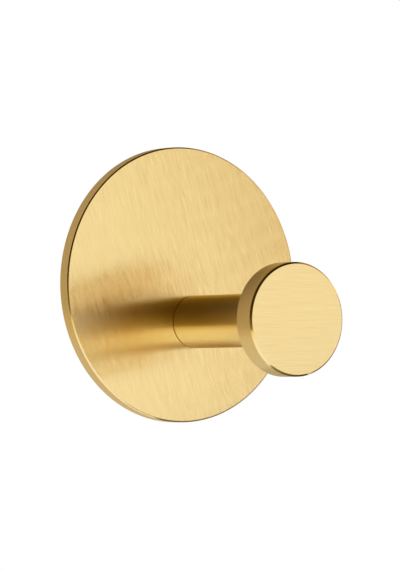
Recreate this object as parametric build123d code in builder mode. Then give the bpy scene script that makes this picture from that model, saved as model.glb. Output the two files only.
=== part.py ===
from build123d import *
from math import radians, tan
import os

# Round wall hook in millimetres: a thin backplate stuck to the wall by a foam pad, a turned post below the
# plate's centre and a disc head on the post's end. The origin is the centre of the pad's wall face, +Z is up
# and the hook stands out from the wall along -Y.

# Backplate
plate_diameter = 60.0
plate_thickness = 3.0
plate_edge_break = 0.25

# Adhesive pad between the plate and the wall
pad_diameter = 54.0
pad_thickness = 1.0

# Post
post_diameter = 11.5
post_length = 32.7
post_drop = 8.65
post_root_break = 0.2

# Head
head_diameter = 24.3
head_thickness = 5.2
head_edge_break = 0.4
head_back_break = 0.15
head_face_wall = 1.8

# Spigot on the end of the post, which the head is pressed on to
spigot_diameter = 6.0
spigot_lead = 0.4
spigot_end_gap = 0.2

# Countersunk socket screw that pulls the post against the plate, drawn plain at its thread's outside diameter
screw_diameter = 4.0
screw_length = 10.0
screw_head_diameter = 7.5
screw_head_land = 0.2
screw_head_angle = 90.0
screw_sink = 0.1
screw_tip_break = 0.5
socket_across_flats = 2.5
socket_depth = 1.4

# Tapped hole in the root of the post
thread_lead = 0.3
tap_runout = 2.0
drill_point_angle = 118.0

# Clearances on the radius
fit_clearance = 0.03
screw_hole_clearance = 0.2

# Worked-out sizes
plate_radius = plate_diameter / 2
post_radius = post_diameter / 2
head_radius = head_diameter / 2
spigot_radius = spigot_diameter / 2
screw_radius = screw_diameter / 2
screw_head_radius = screw_head_diameter / 2
screw_hole_radius = screw_radius + screw_hole_clearance
tapped_radius = screw_radius + fit_clearance
bore_radius = spigot_radius + fit_clearance

bore_depth = head_thickness - head_face_wall
spigot_length = bore_depth - spigot_end_gap
tapped_depth = screw_length + screw_sink - plate_thickness + tap_runout
drill_point_length = tapped_radius / tan(radians(drill_point_angle / 2))

# The screw's cone and the plate's countersink share one slope, with the fit clearance between them
cone_slope = tan(radians(screw_head_angle / 2))
screw_cone_end = screw_head_land + (screw_head_radius - screw_radius) / cone_slope
countersink_radius = screw_head_radius + fit_clearance + (screw_head_land + screw_sink) * cone_slope

# Faces across the wall's normal, from the wall to the head
wall_face = Plane.XZ
plate_back = wall_face.offset(pad_thickness)
plate_front = plate_back.offset(plate_thickness)
head_back = plate_front.offset(post_length)
screw_top = plate_back.offset(screw_sink)

post_axis = Axis((0, 0, -post_drop), (0, -1, 0))


def turning_plane(face):
    """Plane through the post's axis: x is the radius and y the distance in front of the face."""
    return Plane(origin=(0, face.origin.Y, -post_drop), x_dir=(1, 0, 0), z_dir=(0, 0, -1))


def post_plane(face, z_dir):
    """Plane in the face, centred on the post's axis."""
    return Plane(origin=(0, face.origin.Y, -post_drop), x_dir=(1, 0, 0), z_dir=z_dir)


# Foam pad on the wall
with BuildPart() as adhesive_pad:
    with BuildSketch(wall_face):
        Circle(pad_diameter / 2)
    extrude(amount=pad_thickness)

# Plate with its front edge broken, countersunk from behind on the post's axis
with BuildPart() as backplate:
    with BuildSketch(plate_back):
        Circle(plate_radius)
    extrude(amount=plate_thickness)
    chamfer(backplate.faces().sort_by(Axis.Y)[0].edges(), length=plate_edge_break)
    with Locations(post_plane(plate_back, z_dir=(0, 1, 0))):
        CounterSinkHole(
            radius=screw_hole_radius,
            counter_sink_radius=countersink_radius,
            counter_sink_angle=screw_head_angle,
        )

# Turned post: tapped hole at the root, broken root edge, shoulder and spigot at the head
with BuildPart() as post:
    with BuildSketch(turning_plane(plate_front)):
        with BuildLine():
            Polyline(
                (tapped_radius + thread_lead, 0),
                (post_radius - post_root_break, 0),
                (post_radius, post_root_break),
                (post_radius, post_length),
                (spigot_radius, post_length),
                (spigot_radius, post_length + spigot_length - spigot_lead),
                (spigot_radius - spigot_lead, post_length + spigot_length),
                (0, post_length + spigot_length),
                (0, tapped_depth + drill_point_length),
                (tapped_radius, tapped_depth),
                (tapped_radius, thread_lead),
                close=True,
            )
        make_face()
    revolve(axis=post_axis)

# Turned head: blind bore for the spigot, broken front and back edges
with BuildPart() as head:
    with BuildSketch(turning_plane(head_back)):
        with BuildLine():
            Polyline(
                (bore_radius, 0),
                (head_radius - head_back_break, 0),
                (head_radius, head_back_break),
                (head_radius, head_thickness - head_edge_break),
                (head_radius - head_edge_break, head_thickness),
                (0, head_thickness),
                (0, bore_depth),
                (bore_radius, bore_depth),
                close=True,
            )
        make_face()
    revolve(axis=post_axis)

# Countersunk screw with its hexagon socket
with BuildPart() as post_screw:
    with BuildSketch(turning_plane(screw_top)):
        with BuildLine():
            Polyline(
                (0, 0),
                (screw_head_radius, 0),
                (screw_head_radius, screw_head_land),
                (screw_radius, screw_cone_end),
                (screw_radius, screw_length - screw_tip_break),
                (screw_radius - screw_tip_break, screw_length),
                (0, screw_length),
                close=True,
            )
        make_face()
    revolve(axis=post_axis)
    with BuildSketch(post_plane(screw_top, z_dir=(0, -1, 0))):
        RegularPolygon(radius=socket_across_flats / 2, side_count=6, major_radius=False)
    extrude(amount=socket_depth, mode=Mode.SUBTRACT)

os.makedirs("parts", exist_ok=True)

adhesive_pad.part.label = "adhesive_pad"
export_step(adhesive_pad.part, "parts/adhesive_pad.step")
backplate.part.label = "backplate"
export_step(backplate.part, "parts/backplate.step")
post.part.label = "post"
export_step(post.part, "parts/post.step")
head.part.label = "head"
export_step(head.part, "parts/head.step")
post_screw.part.label = "post_screw"
export_step(post_screw.part, "parts/post_screw.step")
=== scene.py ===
"""Dress the round wall hook: brushed brass plate, post and head, foam pad, studio and camera."""

import logging
import math
from dataclasses import dataclass, field
from enum import Enum

import bpy
import numpy as np
from mathutils import Matrix, Vector


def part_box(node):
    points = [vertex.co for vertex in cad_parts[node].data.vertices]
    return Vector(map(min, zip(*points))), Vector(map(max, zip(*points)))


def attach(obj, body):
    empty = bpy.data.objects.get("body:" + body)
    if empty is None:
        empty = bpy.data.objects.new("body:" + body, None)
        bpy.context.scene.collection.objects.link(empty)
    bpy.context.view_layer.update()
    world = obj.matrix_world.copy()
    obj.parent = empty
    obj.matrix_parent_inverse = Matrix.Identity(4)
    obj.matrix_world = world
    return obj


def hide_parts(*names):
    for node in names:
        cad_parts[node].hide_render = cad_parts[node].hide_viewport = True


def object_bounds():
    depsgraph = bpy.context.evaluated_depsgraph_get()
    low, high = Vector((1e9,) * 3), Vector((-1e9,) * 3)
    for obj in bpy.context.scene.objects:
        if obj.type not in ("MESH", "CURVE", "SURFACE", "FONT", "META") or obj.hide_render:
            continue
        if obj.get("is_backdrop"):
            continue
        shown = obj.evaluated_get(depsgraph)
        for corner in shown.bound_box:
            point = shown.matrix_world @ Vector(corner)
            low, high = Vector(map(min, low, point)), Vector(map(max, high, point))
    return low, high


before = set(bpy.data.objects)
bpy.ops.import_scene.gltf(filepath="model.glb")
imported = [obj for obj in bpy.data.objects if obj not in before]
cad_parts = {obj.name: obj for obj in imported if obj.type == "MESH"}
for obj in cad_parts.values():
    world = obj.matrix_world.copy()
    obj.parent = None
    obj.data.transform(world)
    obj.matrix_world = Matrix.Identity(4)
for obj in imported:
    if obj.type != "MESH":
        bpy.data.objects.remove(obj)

LOG = logging.getLogger("wall_hook")
MM = 0.001
BODY = "root"
POLE_RADIUS = 1e-9
CARD_ROWS, CARD_COLUMNS = 25, 49
Colour = tuple[float, float, float]


class Zone(Enum):
    """How a strip of a turned piece was finished."""

    FACE = 0
    SIDE = 1
    EDGE = 2


class Tone(Enum):
    """Linear colour at an edge of a studio card, tuned until the metal looked as in the photograph."""

    DARK = (0.045, 0.022, 0.0)
    UMBER = (0.11, 0.062, 0.005)
    BROWN = (0.27, 0.18, 0.025)
    SHADE = (0.18, 0.145, 0.09)
    TAUPE = (0.28, 0.23, 0.12)
    TAN = (0.42, 0.3, 0.08)
    RUST = (0.48, 0.25, 0.0)
    HONEY = (1.0, 0.8, 0.3)
    GREY = (0.58, 0.45, 0.275)
    PALE = (0.68, 0.58, 0.42)
    CREAM = (0.96, 0.9, 0.75)
    WHITE = (1.05, 1.0, 0.93)
    BRIGHT = (1.1, 1.08, 1.12)


# Shared surface work


@dataclass
class Outline:
    """A turned piece's outline, from its back outwards and round to its front.

    Attributes:
        corners: Radius and y of each corner, in metres, as an array of shape (n, 2).
        zones: The finish of the strip from each corner to the next.
        closed: Whether the last corner joins the first; an open outline ends on the axis.
        ease: How far each corner is rounded along its two edges, in metres.
        ease_limit: Largest share of an edge that its corner's rounding may take.
        rings: Number of rings along each straight edge.
        arc_points: Number of points round each corner.
    """

    corners: np.ndarray
    zones: list[Zone]
    closed: bool
    ease: float = 0.035 * MM
    ease_limit: float = 0.22
    rings: int = 7
    arc_points: int = 5

    def points(self) -> tuple[np.ndarray, np.ndarray]:
        """Work out the eased outline.

        A corner c with unit directions a and b to its neighbours becomes the parabola
        (1-t)^2 (c + k a) + 2 t (1-t) c + t^2 (c + k b), and the straight edges run between points 2 k
        from the corners, so that the shading of a face ends at its edge.

        Returns:
            The points as an array of shape (m, 2), and the zone of the strip that starts at each point.
        """
        corner = self.corners
        ahead = np.roll(corner, -1, axis=0) - corner
        length = np.linalg.norm(ahead, axis=1, keepdims=True)
        to_next = ahead / length
        to_last = -np.roll(to_next, 1, axis=0)
        reach = np.minimum(length, np.roll(length, 1, axis=0)) * self.ease_limit
        k = np.minimum(self.ease, reach)
        if not self.closed:
            k[[0, -1]] = 0.0

        t = np.linspace(0.0, 1.0, self.arc_points)[None, :, None]
        start, end = (corner + k * to_last)[:, None], (corner + k * to_next)[:, None]
        arcs = (1 - t) ** 2 * start + 2 * t * (1 - t) * corner[:, None] + t**2 * end

        share = np.linspace(0.0, 1.0, self.rings)[None, :, None]
        first = corner + 2 * k * to_next
        last = np.roll(corner + 2 * k * to_last, -1, axis=0)
        edges = first[:, None] + share * (last - first)[:, None]

        zone = np.array([z.value for z in self.zones])
        before = np.roll(zone, 1)
        half = self.arc_points // 2
        arc_zone = np.where(np.arange(self.arc_points)[None, :] < half, before[:, None], zone[:, None])
        edge_zone = np.repeat(zone[:, None], self.rings, axis=1)

        path = np.concatenate([arcs, edges], axis=1).reshape(-1, 2)
        strip = np.concatenate([arc_zone, edge_zone], axis=1).reshape(-1)
        if not self.closed:
            path = path[self.arc_points : -self.arc_points - self.rings]
            strip = strip[self.arc_points : -self.arc_points - self.rings]
        return path, strip


@dataclass
class Turning:
    """A surface turned from an outline, with a UV map in millimetres that follows its brushing.

    Attributes:
        name: The piece's name.
        outline: The outline that is turned.
        axis_z: Height of the axis that the outer rings are centred on.
        hole_z: Height of the axis that the smallest rings are centred on.
        hole_radius: Radius up to which rings are centred on the hole.
        outer_radius: Radius from which rings are centred on the outer axis.
        brush_angle: Direction of the face's brush lines, in degrees from +X towards +Z.
        segments: Number of points round each ring.
    """

    name: str
    outline: Outline
    axis_z: float
    hole_z: float
    hole_radius: float
    outer_radius: float
    brush_angle: float
    segments: int = 256

    def build(self) -> bpy.types.Object:
        """Make the mesh: point (s, a) is the ring of radius r(s) at depth y(s), at angle a.

        x = r cos a and z = c(r) + r sin a. The centre c slides in a straight line from the hole's axis to
        the outer axis as r grows from the hole's radius to the outer radius. A ring of radius zero is one
        point. The UV map gives U across the brush lines and V along them: on a face the two directions in
        its plane, and elsewhere the depth and the length of arc.

        Returns:
            The new object, with its zones as material indices.
        """
        path, strip = self.outline.points()
        radius, depth = path[:, 0], path[:, 1]
        slide = np.clip((radius - self.hole_radius) / (self.outer_radius - self.hole_radius), 0.0, 1.0)
        centre = self.hole_z + slide * (self.axis_z - self.hole_z)
        turn = np.linspace(0.0, 2 * math.pi, self.segments + 1)

        x = radius[:, None] * np.cos(turn)
        z = centre[:, None] + radius[:, None] * np.sin(turn)
        y = np.broadcast_to(depth[:, None], x.shape)
        grid = np.stack([x, y, z], axis=2)

        pole = radius < POLE_RADIUS
        size = np.where(pole, 1, self.segments)
        base = np.concatenate([[0], np.cumsum(size)[:-1]])
        step = np.where(pole[:, None], 0, np.arange(self.segments + 1)[None, :] % self.segments)
        index = base[:, None] + step
        kept = np.arange(self.segments)[None, :] < size[:, None]
        verts = grid[:, :-1][kept]

        last = len(radius) if self.outline.closed else len(radius) - 1
        here = np.arange(last)
        there = (here + 1) % len(radius)
        ring = np.stack([here, here, there, there], axis=1)[:, None, :]
        side = np.stack([np.arange(self.segments), np.arange(1, self.segments + 1)], axis=1)
        side = side[:, [0, 1, 1, 0]][None, :, :]
        faces = index[ring, side].reshape(-1, 4)
        zone = np.repeat(strip[:last], self.segments)

        across, along = self.brush_axes()
        plane_u = (x * across[0] + z * across[1]) / MM
        plane_v = (x * along[0] + z * along[1]) / MM
        wrap_u = y / MM
        wrap_v = radius[:, None] * turn[None, :] / MM
        on_face = (zone == Zone.FACE.value)[:, None]
        ring_flat = np.broadcast_to(ring, (last, self.segments, 4)).reshape(-1, 4)
        side_flat = np.broadcast_to(side, (last, self.segments, 4)).reshape(-1, 4)
        u = np.where(on_face, plane_u[ring_flat, side_flat], wrap_u[ring_flat, side_flat])
        v = np.where(on_face, plane_v[ring_flat, side_flat], wrap_v[ring_flat, side_flat])
        return self.fill_mesh(verts, faces, zone, np.stack([u, v], axis=2))

    def brush_axes(self) -> tuple[tuple[float, float], tuple[float, float]]:
        """Give the directions across and along the face's brush lines.

        Returns:
            Two unit directions as (x, z).
        """
        angle = math.radians(self.brush_angle)
        along = (math.cos(angle), math.sin(angle))
        return (along[1], -along[0]), along

    def fill_mesh(
        self, verts: np.ndarray, faces: np.ndarray, zone: np.ndarray, uv: np.ndarray
    ) -> bpy.types.Object:
        """Put the arrays into a mesh, with the strips at a pole as triangles.

        Args:
            verts: Points of shape (n, 3).
            faces: Corner indices of shape (f, 4); a strip at a pole repeats the pole's index.
            zone: Zone of each face.
            uv: UV of each face's corners, of shape (f, 4, 2).

        Returns:
            The new object.
        """
        keep = np.ones(faces.shape, dtype=bool)
        keep[:, 1] = faces[:, 1] != faces[:, 0]
        keep[:, 3] = faces[:, 3] != faces[:, 2]
        total = keep.sum(axis=1)

        mesh = bpy.data.meshes.new(self.name)
        mesh.vertices.add(len(verts))
        mesh.vertices.foreach_set("co", verts.astype(np.float32).ravel())
        mesh.loops.add(int(total.sum()))
        mesh.loops.foreach_set("vertex_index", faces[keep].astype(np.int32))
        mesh.polygons.add(len(faces))
        starts = np.concatenate([[0], np.cumsum(total)[:-1]])
        mesh.polygons.foreach_set("loop_start", starts.astype(np.int32))
        mesh.polygons.foreach_set("material_index", zone.astype(np.int32))
        mesh.polygons.foreach_set("use_smooth", np.ones(len(faces), dtype=bool))
        layer = mesh.uv_layers.new(name="brush")
        layer.data.foreach_set("uv", uv[keep].astype(np.float32).ravel())
        mesh.update(calc_edges=True)
        mesh.validate()

        obj = bpy.data.objects.new(self.name, mesh)
        bpy.context.scene.collection.objects.link(obj)
        return obj


# Finishes


class Nodes:
    """A node tree with short calls to add and join nodes."""

    def __init__(self, tree: bpy.types.NodeTree) -> None:
        """Hold the tree.

        Args:
            tree: The tree that nodes are added to.
        """
        self.tree = tree

    def add(self, kind: str, **values: object) -> bpy.types.Node:
        """Add a node.

        Args:
            kind: Blender's node type, without its ShaderNode prefix where it has one.
            **values: Properties to set on the node.

        Returns:
            The new node.
        """
        name = kind if kind.startswith("Node") else "ShaderNode" + kind
        node = self.tree.nodes.new(name)
        for key, value in values.items():
            setattr(node, key, value)
        return node

    def join(self, source: bpy.types.NodeSocket, target: bpy.types.NodeSocket) -> None:
        """Link two sockets."""
        self.tree.links.new(source, target)

    def math(self, operation: str, a: object, b: object) -> bpy.types.NodeSocket:
        """Add a Math node.

        Args:
            operation: The node's operation.
            a: First number or socket.
            b: Second number or socket.

        Returns:
            The node's output.
        """
        node = self.add("Math", operation=operation)
        for socket, value in zip(node.inputs, (a, b)):
            if isinstance(value, bpy.types.NodeSocket):
                self.join(value, socket)
            else:
                socket.default_value = value
        return node.outputs[0]

    def spread(self, value: bpy.types.NodeSocket, low: float, high: float) -> bpy.types.NodeSocket:
        """Map a value from 0..1 to low..high.

        Args:
            value: The socket to map.
            low: Result at 0.
            high: Result at 1.

        Returns:
            The mapped value.
        """
        node = self.add("MapRange")
        node.inputs["To Min"].default_value = low
        node.inputs["To Max"].default_value = high
        self.join(value, node.inputs["Value"])
        return node.outputs["Result"]

    def blend(self, share: bpy.types.NodeSocket, a: Colour, b: Colour) -> bpy.types.NodeSocket:
        """Mix two colours.

        Args:
            share: How much of the second colour.
            a: First colour, linear.
            b: Second colour, linear.

        Returns:
            The mixed colour.
        """
        node = self.add("Mix", data_type="RGBA")
        node.inputs["A"].default_value = (*a, 1.0)
        node.inputs["B"].default_value = (*b, 1.0)
        self.join(share, node.inputs["Factor"])
        return node.outputs["Result"]


class BrushLines:
    """Node group of long fine brush lines, shared by every brushed finish."""

    NAME = "brush_lines"

    @classmethod
    def group(cls) -> bpy.types.NodeTree:
        """Build the group on first use.

        The fine lines are noise squeezed across the brush and drawn out along it, and the streaks and the
        broad bands are the same noise several times wider.

        Returns:
            The node group.
        """
        if cls.NAME in bpy.data.node_groups:
            return bpy.data.node_groups[cls.NAME]
        tree = bpy.data.node_groups.new(cls.NAME, "ShaderNodeTree")
        face = tree.interface
        face.new_socket("Position", in_out="INPUT", socket_type="NodeSocketVector")
        face.new_socket("Lines per mm", in_out="INPUT", socket_type="NodeSocketFloat")
        face.new_socket("Line length", in_out="INPUT", socket_type="NodeSocketFloat")
        face.new_socket("Height", in_out="OUTPUT", socket_type="NodeSocketFloat")
        face.new_socket("Streak", in_out="OUTPUT", socket_type="NodeSocketFloat")
        face.new_socket("Band", in_out="OUTPUT", socket_type="NodeSocketFloat")

        nodes = Nodes(tree)
        given = nodes.add("NodeGroupInput")
        result = nodes.add("NodeGroupOutput")
        split = nodes.add("SeparateXYZ")
        nodes.join(given.outputs["Position"], split.inputs[0])
        across = nodes.math("MULTIPLY", split.outputs["X"], given.outputs["Lines per mm"])
        along = nodes.math("DIVIDE", split.outputs["Y"], given.outputs["Line length"])
        for name, squeeze, stretch, detail in (
            ("Height", 1.0, 1.0, 0.0),
            ("Streak", 0.15, 0.8, 3.0),
            ("Band", 0.03, 0.3, 2.0),
        ):
            place = nodes.add("CombineXYZ")
            nodes.join(nodes.math("MULTIPLY", across, squeeze), place.inputs["X"])
            nodes.join(nodes.math("MULTIPLY", along, stretch), place.inputs["Y"])
            noise = nodes.add("TexNoise", noise_dimensions="2D")
            noise.inputs["Scale"].default_value = 1.0
            noise.inputs["Detail"].default_value = detail
            noise.inputs["Roughness"].default_value = 0.6
            nodes.join(place.outputs[0], noise.inputs["Vector"])
            nodes.join(noise.outputs["Fac"], result.inputs[name])
        return tree


@dataclass(frozen=True)
class BrushedBrass:
    """Pale gold metal brushed in one direction.

    Attributes:
        name: The material's name.
        light: Colour of the metal on the clean ridges, linear.
        dark: Colour in the deeper brush lines, linear.
        smooth: Roughness of the smoothest lines.
        rough: Roughness of the roughest lines.
        stretch: Anisotropy of the reflection.
        lines_per_mm: Fine lines in each millimetre.
        line_length: Length of a line in millimetres.
        depth: Depth of the lines in metres.
        streak_share: How much of the colour follows the lines rather than broad bands.
    """

    name: str
    light: Colour = (0.955, 0.785, 0.42)
    dark: Colour = (0.91, 0.725, 0.365)
    smooth: float = 0.22
    rough: float = 0.3
    stretch: float = 0.82
    lines_per_mm: float = 22.0
    line_length: float = 3.0
    depth: float = 0.0004 * MM
    streak_share: float = 0.8

    def material(self) -> bpy.types.Material:
        """Build the material once.

        Returns:
            The material.
        """
        if self.name in bpy.data.materials:
            return bpy.data.materials[self.name]
        material = bpy.data.materials.new(self.name)
        material.use_nodes = True
        nodes = Nodes(material.node_tree)
        shader = material.node_tree.nodes["Principled BSDF"]
        shader.inputs["Metallic"].default_value = 1.0
        shader.inputs["Anisotropic"].default_value = self.stretch

        place = nodes.add("UVMap", uv_map="brush")
        lines = nodes.add("Group", node_tree=BrushLines.group())
        lines.inputs["Lines per mm"].default_value = self.lines_per_mm
        lines.inputs["Line length"].default_value = self.line_length
        nodes.join(place.outputs[0], lines.inputs["Position"])

        streak = nodes.math("MULTIPLY", lines.outputs["Streak"], self.streak_share)
        band = nodes.math("MULTIPLY", lines.outputs["Band"], 1.0 - self.streak_share)
        tone = nodes.spread(nodes.math("ADD", streak, band), -0.5, 1.5)
        nodes.join(nodes.blend(tone, self.dark, self.light), shader.inputs["Base Color"])
        nodes.join(nodes.spread(lines.outputs["Streak"], self.rough, self.smooth), shader.inputs["Roughness"])

        bump = nodes.add("Bump")
        bump.inputs["Strength"].default_value = 1.0
        bump.inputs["Filter Width"].default_value = 0.02
        bump.inputs["Distance"].default_value = self.depth
        nodes.join(lines.outputs["Height"], bump.inputs["Height"])
        nodes.join(bump.outputs[0], shader.inputs["Normal"])
        grain = nodes.add("Tangent", direction_type="UV_MAP", uv_map="brush")
        nodes.join(grain.outputs[0], shader.inputs["Tangent"])
        return material


@dataclass(frozen=True)
class FoamPad:
    """Matt pale grey acrylic foam with a fine closed-cell mottle.

    Attributes:
        name: The material's name.
        light: Colour of the skin, linear.
        dark: Colour in the cells, linear.
        cells_per_m: Cells along a metre.
        mottle_share: Patches of the broad mottle for each cell.
        depth: Depth of the cells in metres.
        matt: Least and most roughness.
    """

    name: str = "acrylic_foam"
    light: Colour = (0.62, 0.63, 0.63)
    dark: Colour = (0.5, 0.51, 0.52)
    cells_per_m: float = 2600.0
    mottle_share: float = 0.12
    depth: float = 0.03 * MM
    matt: tuple[float, float] = (0.7, 0.95)

    def material(self) -> bpy.types.Material:
        """Build the material.

        Returns:
            The material.
        """
        material = bpy.data.materials.new(self.name)
        material.use_nodes = True
        nodes = Nodes(material.node_tree)
        shader = material.node_tree.nodes["Principled BSDF"]
        place = nodes.add("TexCoord")
        cells = nodes.add("TexVoronoi")
        cells.inputs["Scale"].default_value = self.cells_per_m
        mottle = nodes.add("TexNoise")
        mottle.inputs["Scale"].default_value = self.cells_per_m * self.mottle_share
        mottle.inputs["Detail"].default_value = 4.0
        nodes.join(place.outputs["Object"], cells.inputs["Vector"])
        nodes.join(place.outputs["Object"], mottle.inputs["Vector"])
        skin = nodes.math("MULTIPLY", cells.outputs["Distance"], mottle.outputs["Fac"])
        nodes.join(nodes.blend(skin, self.light, self.dark), shader.inputs["Base Color"])
        nodes.join(nodes.spread(mottle.outputs["Fac"], *self.matt), shader.inputs["Roughness"])
        bump = nodes.add("Bump")
        bump.inputs["Strength"].default_value = 0.6
        bump.inputs["Distance"].default_value = self.depth
        nodes.join(cells.outputs["Distance"], bump.inputs["Height"])
        nodes.join(bump.outputs[0], shader.inputs["Normal"])
        return material


@dataclass(frozen=True)
class TurnedSteel:
    """Plain stainless screw steel with fine turning marks.

    Attributes:
        name: The material's name.
        light: Colour of the ridges, linear.
        dark: Colour of the marks, linear.
        marks_per_m: Turning marks along a metre.
        matt: Least and most roughness.
    """

    name: str = "screw_steel"
    light: Colour = (0.6, 0.6, 0.61)
    dark: Colour = (0.47, 0.47, 0.48)
    marks_per_m: float = 5000.0
    matt: tuple[float, float] = (0.22, 0.42)

    def material(self) -> bpy.types.Material:
        """Build the material.

        Returns:
            The material.
        """
        material = bpy.data.materials.new(self.name)
        material.use_nodes = True
        nodes = Nodes(material.node_tree)
        shader = material.node_tree.nodes["Principled BSDF"]
        shader.inputs["Metallic"].default_value = 1.0
        place = nodes.add("TexCoord")
        marks = nodes.add("TexNoise")
        marks.inputs["Scale"].default_value = self.marks_per_m
        marks.inputs["Detail"].default_value = 3.0
        nodes.join(place.outputs["Object"], marks.inputs["Vector"])
        nodes.join(nodes.blend(marks.outputs["Fac"], self.dark, self.light), shader.inputs["Base Color"])
        nodes.join(nodes.spread(marks.outputs["Fac"], *self.matt), shader.inputs["Roughness"])
        return material


PLATE_FACE = BrushedBrass(
    "plate_face_brushed", light=(0.952, 0.778, 0.412), smooth=0.15, rough=0.2, stretch=0.4, lines_per_mm=34.0,
    line_length=5.0, depth=0.0073 * MM
)
PLATE_SIDE = BrushedBrass("plate_side_brushed", lines_per_mm=16.0)
HEAD_FACE = BrushedBrass(
    "head_face_brushed", light=(0.955, 0.785, 0.445), smooth=0.18, rough=0.25, lines_per_mm=30.0,
    line_length=8.0, depth=0.0002 * MM
)
TURNED_SIDE = BrushedBrass(
    "turned_side_brushed", dark=(0.93, 0.755, 0.395), smooth=0.225, rough=0.28, lines_per_mm=30.0,
    depth=0.0002 * MM
)
POLISHED_EDGE = BrushedBrass(
    "polished_edge", smooth=0.12, rough=0.18, stretch=0.3, lines_per_mm=24.0, line_length=5.0
)
# Dark brass on the post's root break: painted shade where the post meets the plate.
ROOT_PAINTED_SHADE = BrushedBrass(
    "root_painted_shade", light=(0.5, 0.36, 0.14), dark=(0.3, 0.2, 0.07), smooth=0.3, rough=0.5, stretch=0.0
)


# The hook's pieces


@dataclass
class HookPiece:
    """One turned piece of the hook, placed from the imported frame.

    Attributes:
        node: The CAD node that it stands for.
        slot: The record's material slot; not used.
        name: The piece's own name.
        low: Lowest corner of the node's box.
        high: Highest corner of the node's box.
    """

    node: str
    slot: str
    name: str
    low: Vector = field(init=False)
    high: Vector = field(init=False)

    def __post_init__(self) -> None:
        """Read the node's box from the frame."""
        self.low, self.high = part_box(self.node)

    @property
    def radius(self) -> float:
        """Outer radius of the piece, inside its box on every side."""
        return min(-self.low.x, self.high.x, (self.high.z - self.low.z) / 2)

    @property
    def axis_z(self) -> float:
        """Height of the piece's axis."""
        return (self.high.z + self.low.z) / 2

    def turning(self) -> Turning:
        """Describe the surface to turn."""
        raise NotImplementedError

    def finishes(self) -> list[bpy.types.Material]:
        """List the materials in the order of the zones."""
        raise NotImplementedError

    def build(self) -> bpy.types.Object:
        """Make the piece, dress it and put it on its body.

        Returns:
            The finished object.
        """
        obj = self.turning().build()
        for material in self.finishes():
            obj.data.materials.append(material)
        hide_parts(self.node)
        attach(obj, BODY)
        LOG.info("%s: %d faces", self.name, len(obj.data.polygons))
        return obj


@dataclass
class Backplate(HookPiece):
    """The thin round plate, with a countersunk hole behind the post.

    Attributes:
        edge_break: Width of the front edge's break.
        hole_radius: Radius of the screw hole.
        countersink_radius: Radius of the countersink at the back.
        hole_z: Height of the hole's axis.
        corner_ease: How far the plate's corners are rounded.
        brush_angle: Direction of the brush lines on the face, in degrees.
    """

    hole_z: float = 0.0
    edge_break: float = 0.25 * MM
    hole_radius: float = 2.2 * MM
    countersink_radius: float = 4.08 * MM
    corner_ease: float = 0.08 * MM
    brush_angle: float = 87.0

    def turning(self) -> Turning:
        """Describe the plate: rings centred on the hole slide out to rings centred on the plate.

        Returns:
            The surface to turn.
        """
        back, front, outer = self.high.y, self.low.y, self.radius
        seat = back - (self.countersink_radius - self.hole_radius)
        corners = np.array([
            (self.countersink_radius, back),
            (outer, back),
            (outer, front + self.edge_break),
            (outer - self.edge_break, front),
            (self.hole_radius, front),
            (self.hole_radius, seat),
        ])
        zones = [Zone.FACE, Zone.SIDE, Zone.EDGE, Zone.FACE, Zone.SIDE, Zone.SIDE]
        return Turning(
            self.name, Outline(corners, zones, closed=True, ease=self.corner_ease), self.axis_z, self.hole_z,
            self.countersink_radius, outer - 2 * self.edge_break, self.brush_angle,
        )

    def finishes(self) -> list[bpy.types.Material]:
        """List the plate's materials.

        Returns:
            Face, side and edge materials.
        """
        return [PLATE_FACE.material(), PLATE_SIDE.material(), POLISHED_EDGE.material()]


@dataclass
class Post(HookPiece):
    """The turned post, with its tapped hole, shoulder and spigot.

    Attributes:
        shoulder_y: Where the shoulder meets the head.
        root_break: Width of the break at the root.
        tapped_radius: Radius of the tapped hole.
        tapped_depth: Depth of the tapped hole's wall.
        drill_point: Length of the drilled point.
        thread_lead: Width of the hole's lead-in.
        spigot_radius: Radius of the spigot.
        spigot_lead: Width of the spigot's lead-in.
    """

    shoulder_y: float = 0.0
    root_break: float = 0.2 * MM
    tapped_radius: float = 2.03 * MM
    tapped_depth: float = 9.1 * MM
    drill_point: float = 1.22 * MM
    thread_lead: float = 0.3 * MM
    spigot_radius: float = 3.0 * MM
    spigot_lead: float = 0.4 * MM

    def turning(self) -> Turning:
        """Describe the post from the drilled point, round its root and shoulder, to the spigot's end.

        Returns:
            The surface to turn.
        """
        root, end, outer = self.high.y, self.low.y, self.radius
        corners = np.array([
            (0.0, root - self.tapped_depth - self.drill_point),
            (self.tapped_radius, root - self.tapped_depth),
            (self.tapped_radius, root - self.thread_lead),
            (self.tapped_radius + self.thread_lead, root),
            (outer - self.root_break, root),
            (outer, root - self.root_break),
            (outer, self.shoulder_y),
            (self.spigot_radius, self.shoulder_y),
            (self.spigot_radius, end + self.spigot_lead),
            (self.spigot_radius - self.spigot_lead, end),
            (0.0, end),
        ])
        zones = [Zone.SIDE] * len(corners)
        # The root break takes the painted shade where the post meets the plate.
        zones[4] = Zone.EDGE
        outline = Outline(corners, zones, closed=False)
        return Turning(self.name, outline, self.axis_z, self.axis_z, 0.0, outer, 0.0, segments=192)

    def finishes(self) -> list[bpy.types.Material]:
        """List the post's materials.

        Returns:
            The turned finish, with painted shade on the broken root edge where the post meets the plate.
        """
        return [TURNED_SIDE.material(), TURNED_SIDE.material(), ROOT_PAINTED_SHADE.material()]


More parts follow.
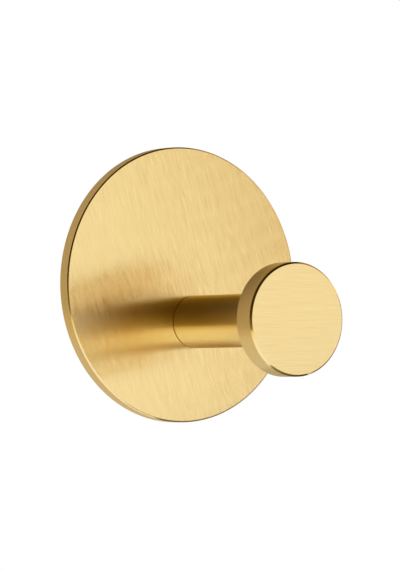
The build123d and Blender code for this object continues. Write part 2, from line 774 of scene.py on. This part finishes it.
@dataclass
class Head(HookPiece):
    """The disc head, with its blind bore for the spigot.

    Attributes:
        edge_break: Width of the front edge's break.
        back_break: Width of the back edge's break.
        bore_radius: Radius of the bore.
        bore_depth: Depth of the bore.
        brush_angle: Direction of the brush lines on the face, in degrees.
    """

    edge_break: float = 0.4 * MM
    back_break: float = 0.15 * MM
    bore_radius: float = 3.03 * MM
    bore_depth: float = 3.4 * MM
    brush_angle: float = -21.0

    def turning(self) -> Turning:
        """Describe the head from the bore's end, round its back and rim, to its face.

        Returns:
            The surface to turn.
        """
        back, face, outer = self.high.y, self.low.y, self.radius
        corners = np.array([
            (0.0, back - self.bore_depth),
            (self.bore_radius, back - self.bore_depth),
            (self.bore_radius, back),
            (outer - self.back_break, back),
            (outer, back - self.back_break),
            (outer, face + self.edge_break),
            (outer - self.edge_break, face),
            (0.0, face),
        ])
        zones = [Zone.SIDE, Zone.SIDE, Zone.FACE, Zone.EDGE, Zone.SIDE, Zone.EDGE, Zone.FACE, Zone.FACE]
        outline = Outline(corners, zones, closed=False)
        return Turning(
            self.name, outline, self.axis_z, self.axis_z, 0.0, outer, self.brush_angle, segments=224
        )

    def finishes(self) -> list[bpy.types.Material]:
        """List the head's materials.

        Returns:
            Face, side and edge materials.
        """
        return [HEAD_FACE.material(), TURNED_SIDE.material(), POLISHED_EDGE.material()]


@dataclass
class AdhesivePad(HookPiece):
    """The die-cut foam pad, with softly rounded edges.

    Attributes:
        edge_round: How far the pad's edges are rounded.
    """

    edge_round: float = 0.16 * MM

    def turning(self) -> Turning:
        """Describe the pad from its wall face, over its edge, to the plate.

        Returns:
            The surface to turn.
        """
        wall, plate, outer = self.high.y, self.low.y, self.radius
        corners = np.array([(0.0, wall), (outer, wall), (outer, plate), (0.0, plate)])
        zones = [Zone.FACE, Zone.SIDE, Zone.FACE, Zone.FACE]
        outline = Outline(corners, zones, closed=False, ease=self.edge_round, arc_points=7)
        return Turning(self.name, outline, self.axis_z, self.axis_z, 0.0, outer, 0.0)

    def finishes(self) -> list[bpy.types.Material]:
        """List the pad's materials.

        Returns:
            The foam for every zone.
        """
        return [FoamPad().material()] * len(Zone)


# Studio and camera


@dataclass
class Card:
    """A studio card that only reflections see.

    Attributes:
        name: The card's name.
        near: Tone at the card's first edge.
        far: Tone at its opposite edge.
        fade: Share of the tone that is lost from one side of the card to the other.
    """

    name: str
    near: Tone
    far: Tone
    fade: float = 0.0

    def grid(self, side: np.ndarray, share: np.ndarray) -> np.ndarray:
        """Give the points for each share of the way across the card and up it."""
        raise NotImplementedError

    def build(self) -> bpy.types.Object:
        """Make the card from a grid of points, with its tone as a colour of each point.

        The tone runs in a straight line from the first edge to the opposite one, less the fade across.

        Returns:
            The card.
        """
        side = np.linspace(0.0, 1.0, CARD_COLUMNS)[None, :, None]
        share = np.linspace(0.0, 1.0, CARD_ROWS)[:, None, None]
        grid = self.grid(side, share)
        near, far = np.array([*self.near.value, 1.0]), np.array([*self.far.value, 1.0])
        tone = (near + share * (far - near)) * (1.0 - self.fade * side)
        number = np.arange(grid.shape[0] * grid.shape[1]).reshape(grid.shape[:2])
        faces = np.stack([number[:-1, :-1], number[:-1, 1:], number[1:, 1:], number[1:, :-1]], axis=2)

        mesh = bpy.data.meshes.new(self.name)
        mesh.from_pydata(grid.reshape(-1, 3).tolist(), [], faces.reshape(-1, 4).tolist())
        layer = mesh.attributes.new("tone", "FLOAT_COLOR", "POINT")
        layer.data.foreach_set("color", tone.astype(np.float32).ravel())
        mesh.update()
        obj = bpy.data.objects.new(self.name, mesh)
        bpy.context.scene.collection.objects.link(obj)
        obj.data.materials.append(self.material())
        obj.visible_camera = False
        obj.visible_diffuse = False
        obj.visible_shadow = False
        obj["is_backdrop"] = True
        return obj

    def material(self) -> bpy.types.Material:
        """Make the plain material of every card once.

        Returns:
            The material.
        """
        if "studio_card" in bpy.data.materials:
            return bpy.data.materials["studio_card"]
        material = bpy.data.materials.new("studio_card")
        material.use_nodes = True
        nodes = Nodes(material.node_tree)
        material.node_tree.nodes.remove(material.node_tree.nodes["Principled BSDF"])
        tone = nodes.add("Attribute", attribute_name="tone")
        glow = nodes.add("Emission")
        nodes.join(tone.outputs["Color"], glow.inputs["Color"])
        nodes.join(glow.outputs[0], material.node_tree.nodes["Material Output"].inputs["Surface"])
        return material


@dataclass
class StandingCard(Card):
    """A curved card that stands round the hook: a patch of a sphere.

    Attributes:
        azimuth: First and last direction from the hook, in degrees from -Y towards -X.
        height: Lowest and highest direction, in degrees above the horizon.
        distance: How far it stands from the hook, in metres.
    """

    azimuth: tuple[float, float] = (0.0, 90.0)
    height: tuple[float, float] = (0.0, 60.0)
    distance: float = 1.6

    def grid(self, side: np.ndarray, share: np.ndarray) -> np.ndarray:
        """Place the points: azimuth a and elevation e give d (-sin a cos e, -cos a cos e, sin e).

        Args:
            side: Share of the way from the first to the last azimuth, of shape (1, columns, 1).
            share: Share of the way from the lowest to the highest edge, of shape (rows, 1, 1).

        Returns:
            Points of shape (rows, columns, 3).
        """
        turn = np.radians(self.azimuth[0] + side * (self.azimuth[1] - self.azimuth[0]))
        rise = np.radians(self.height[0] + share * (self.height[1] - self.height[0]))
        flat = np.cos(rise)
        parts = [-np.sin(turn) * flat, -np.cos(turn) * flat, np.sin(rise) + 0 * turn]
        return self.distance * np.concatenate(parts, axis=2)


@dataclass
class LyingCard(Card):
    """A rectangular card that lies on the floor.

    Attributes:
        across: Left and right edge, in metres.
        depth: Nearest and farthest edge along Y, in metres.
        level: Height of the card.
    """

    across: tuple[float, float] = (0.0, 1.0)
    depth: tuple[float, float] = (0.0, 1.0)
    level: float = 0.0

    def grid(self, side: np.ndarray, share: np.ndarray) -> np.ndarray:
        """Place the points of the rectangle.

        Args:
            side: Share of the way from the left to the right edge, of shape (1, columns, 1).
            share: Share of the way from the nearest to the farthest edge, of shape (rows, 1, 1).

        Returns:
            Points of shape (rows, columns, 3).
        """
        x = self.across[0] + side * (self.across[1] - self.across[0]) + 0 * share
        y = self.depth[0] + share * (self.depth[1] - self.depth[0]) + 0 * side
        return np.concatenate([x, y, 0 * x + self.level], axis=2)


@dataclass
class Studio:
    """White floor, white background, soft lamps and the toned cards that the metal mirrors.

    Attributes:
        floor_drop: How far the floor lies below the plate's lowest edge.
        floor_reach: Half the floor's side.
        fill: World light on matt surfaces.
        card_lift: How far the lying cards are above the floor.
        shadow_zone: Distances from the hook's origin between which the floor fades to white.
        near_white: How white the floor is nearer than that, where it keeps the hook's shadow.
    """

    floor_drop: float = 60 * MM
    floor_reach: float = 3.0
    fill: float = 0.65
    card_lift: float = 1 * MM
    shadow_zone: tuple[float, float] = (0.1, 0.2)
    near_white: float = 0.5

    def build(self, lowest: float) -> None:
        """Make the floor, the world, the lamps and the cards.

        Args:
            lowest: Height of the hook's lowest point.
        """
        bpy.context.scene.view_settings.view_transform = "Standard"
        self.floor(lowest - self.floor_drop)
        self.world()
        self.lamp("key_softbox", place=Vector((0.5, -0.6, 0.9)), size=0.7, watts=7.0)
        self.lamp("fill_softbox", place=Vector((-0.7, 0.6, 0.7)), size=0.7, watts=4.0)
        self.cards(lowest - self.floor_drop + self.card_lift)

    def cards(self, level: float) -> None:
        """Set the cards that the metal mirrors, from dark brown to white, on all sides and on the floor.

        Args:
            level: Height of the cards on the floor.
        """
        above = level + self.card_lift
        stand, lie = StandingCard, LyingCard
        for card in (
            stand("front_left_card", Tone.BROWN, Tone.UMBER, azimuth=(-5, 44), height=(0, 30)),
            stand("left_card", Tone.BROWN, Tone.DARK, azimuth=(44, 110), height=(0, 26)),
            stand("left_high_card", Tone.DARK, Tone.DARK, azimuth=(44, 110), height=(26, 30)),
            stand("front_low_card", Tone.BRIGHT, Tone.TAN, azimuth=(3, 45), height=(-17, 0), distance=0.3),
            stand("left_low_card", Tone.WHITE, Tone.HONEY, azimuth=(45, 110), height=(-17, 0), distance=0.3),
            stand("glow_card", Tone.HONEY, Tone.BROWN, azimuth=(-75, -5), height=(5, 17), distance=0.45),
            stand("dark_card", Tone.BROWN, Tone.DARK, azimuth=(-75, -5), height=(17, 40), distance=0.45),
            stand("right_card", Tone.GREY, Tone.SHADE, azimuth=(-138, -75), height=(-8, 40)),
            stand("near_card", Tone.RUST, Tone.RUST, azimuth=(-85, -49), height=(-25, 25), distance=0.155),
            stand("top_card", Tone.DARK, Tone.DARK, azimuth=(-138, 110), height=(30, 90)),
            stand("back_card", Tone.GREY, Tone.GREY, 0.33, azimuth=(110, 222), height=(-2, 90)),
            stand("cream_card", Tone.CREAM, Tone.CREAM, azimuth=(-75, -5), height=(-3.5, 6)),
            lie("cream_floor_card", Tone.WHITE, Tone.CREAM, across=(0, 1), depth=(-0.17, -1), level=level),
            lie("back_floor_card", Tone.PALE, Tone.GREY, across=(-2, 0.12), depth=(0, 0.6), level=level),
            lie("far_floor_card", Tone.GREY, Tone.GREY, across=(-2, 0.12), depth=(0.6, 2), level=level),
            lie("back_right_card", Tone.HONEY, Tone.HONEY, across=(0.12, 2), depth=(0.2, 2), level=level),
            lie("edge_card", Tone.UMBER, Tone.UMBER, across=(0.12, 2), depth=(0, 0.2), level=level),
            lie("right_floor_card", Tone.SHADE, Tone.SHADE, across=(0.05, 1), depth=(0, -0.17), level=level),
            # These two dark cards lie where the hook's shadow falls on the floor: painted shadow that the
            # metal mirrors.
            lie("painted_shadow_under_card", Tone.SHADE, Tone.SHADE, 0.0, (-0.018, 0.15), (-0.028, 0.045), level=above),
            lie("painted_shadow_head_card", Tone.TAUPE, Tone.TAUPE, 0.97, (-0.045, 0.035), (-0.08, -0.028), level=above),
            lie("front_card", Tone.RUST, Tone.RUST, across=(-0.01, 0.09), depth=(-0.14, -0.08), level=above),
        ):
            card.build()

    def background_share(self, nodes: Nodes) -> bpy.types.NodeSocket:
        """Tell the rays that see the white background: camera, glossy and transmission rays.

        Args:
            nodes: The tree to add to.

        Returns:
            1 for those rays, otherwise 0.
        """
        path = nodes.add("LightPath")
        seen = nodes.math("MAXIMUM", path.outputs["Is Camera Ray"], path.outputs["Is Glossy Ray"])
        return nodes.math("MAXIMUM", seen, path.outputs["Is Transmission Ray"])

    def floor(self, height: float) -> None:
        """Lay the pale floor: it keeps the hook's shadow near by, fades to white and is clear from below.

        Args:
            height: Where it lies.
        """
        side = self.floor_reach
        mesh = bpy.data.meshes.new("floor")
        corners = [(-side, -side, height), (side, -side, height), (side, side, height), (-side, side, height)]
        mesh.from_pydata(corners, [], [(0, 1, 2, 3)])
        obj = bpy.data.objects.new("floor", mesh)
        bpy.context.scene.collection.objects.link(obj)
        obj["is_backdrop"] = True

        material = bpy.data.materials.new("floor_white")
        material.use_nodes = True
        nodes = Nodes(material.node_tree)
        shader = material.node_tree.nodes["Principled BSDF"]
        shader.inputs["Base Color"].default_value = (0.95, 0.95, 0.95, 1.0)
        shader.inputs["Roughness"].default_value = 0.9
        shader.inputs["Specular IOR Level"].default_value = 0.0
        place = nodes.add("TexCoord")
        reach = nodes.add("VectorMath", operation="LENGTH")
        nodes.join(place.outputs["Object"], reach.inputs[0])
        white = nodes.add("MapRange", interpolation_type="SMOOTHSTEP")
        white.inputs["From Min"].default_value, white.inputs["From Max"].default_value = self.shadow_zone
        white.inputs["To Min"].default_value = self.near_white
        nodes.join(reach.outputs["Value"], white.inputs["Value"])

        glow = nodes.add("Emission")
        glow.inputs["Strength"].default_value = 1.0
        mix = nodes.add("MixShader")
        nodes.join(nodes.math("MULTIPLY", self.background_share(nodes), white.outputs[0]), mix.inputs["Fac"])
        nodes.join(shader.outputs[0], mix.inputs[1])
        nodes.join(glow.outputs[0], mix.inputs[2])
        below = nodes.add("MixShader")
        nodes.join(nodes.add("NewGeometry").outputs["Backfacing"], below.inputs["Fac"])
        nodes.join(mix.outputs[0], below.inputs[1])
        nodes.join(nodes.add("BsdfTransparent").outputs[0], below.inputs[2])
        nodes.join(below.outputs[0], material.node_tree.nodes["Material Output"].inputs["Surface"])
        obj.data.materials.append(material)

    def world(self) -> None:
        """Make the world: white behind the hook, softer as a light."""
        world = bpy.data.worlds.new("studio")
        bpy.context.scene.world = world
        world.use_nodes = True
        nodes = Nodes(world.node_tree)
        sky = world.node_tree.nodes["Background"]
        sky.inputs["Color"].default_value = (1.0, 1.0, 1.0, 1.0)
        share = self.background_share(nodes)
        nodes.join(nodes.spread(share, self.fill, 1.0), sky.inputs["Strength"])

    def lamp(self, name: str, place: Vector, size: float, watts: float) -> None:
        """Hang a soft square lamp that faces the hook.

        Args:
            name: The lamp's name.
            place: Where it hangs.
            size: Length of its side.
            watts: Its power.
        """
        light = bpy.data.lights.new(name, "AREA")
        light.size = size
        light.energy = watts
        obj = bpy.data.objects.new(name, light)
        obj.location = place
        obj.rotation_mode = "QUATERNION"
        obj.rotation_quaternion = (-place).to_track_quat("-Z", "Y")
        obj.visible_glossy = False
        bpy.context.scene.collection.objects.link(obj)


@dataclass
class PhotoCamera:
    """The camera at the photograph's angle.

    Attributes:
        azimuth: Direction round the hook, in degrees; 0 looks along +Y.
        elevation: Height above the horizon, in degrees.
        roll: Turn about the line of sight, in degrees.
        distance: Distance from the plate's back.
        aside: How far the camera stands to the right of that line.
        lens: Focal length in millimetres, on a sensor as wide as the picture's long side.
        sensor: Width of that sensor in millimetres.
    """

    azimuth: float = -33.523
    elevation: float = 10.617
    roll: float = -17.665
    distance: float = 950.5 * MM
    aside: float = 5.44 * MM
    lens: float = 274.74
    sensor: float = 36.0

    def build(self, aim: Vector) -> None:
        """Make the camera.

        Args:
            aim: The point that its distance is measured from.
        """
        turn, rise, roll = (math.radians(a) for a in (self.azimuth, self.elevation, self.roll))
        back = Vector((math.sin(turn) * math.cos(rise), -math.cos(turn) * math.cos(rise), math.sin(rise)))
        level = Vector((0.0, 0.0, 1.0)).cross(back).normalized()
        upright = back.cross(level)
        right = math.cos(roll) * level + math.sin(roll) * upright
        up = math.cos(roll) * upright - math.sin(roll) * level

        data = bpy.data.cameras.new("photo_camera")
        data.lens = self.lens
        data.sensor_width = self.sensor
        data.clip_start = 0.01
        data.clip_end = 20.0
        camera = bpy.data.objects.new("photo_camera", data)
        place = aim + back * self.distance + right * self.aside
        camera.matrix_world = Matrix.Translation(place) @ Matrix((right, up, back)).transposed().to_4x4()
        bpy.context.scene.collection.objects.link(camera)
        bpy.context.scene.camera = camera


def main() -> None:
    """Build and dress the hook, then the studio and the camera."""
    logging.basicConfig(level=logging.INFO, format="%(name)s %(message)s")
    cad_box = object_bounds()

    post = Post("post", "turned_brass_post", "post_turned")
    head = Head("head", "brushed_brass_head", "head_brushed")
    post.shoulder_y = head.high.y
    plate = Backplate("backplate", "brushed_brass_plate", "plate_brushed", hole_z=post.axis_z)
    pad = AdhesivePad("adhesive_pad", "adhesive_foam", "pad_foam")
    for piece in (plate, post, head, pad):
        piece.build()

    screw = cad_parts["post_screw"]
    screw.data.materials.clear()
    screw.data.materials.append(TurnedSteel().material())
    LOG.info("post_screw: dressed")

    Studio().build(cad_box[0].z)
    PhotoCamera().build(Vector((0.0, plate.high.y, plate.axis_z)))


if __name__ == "__main__":
    main()
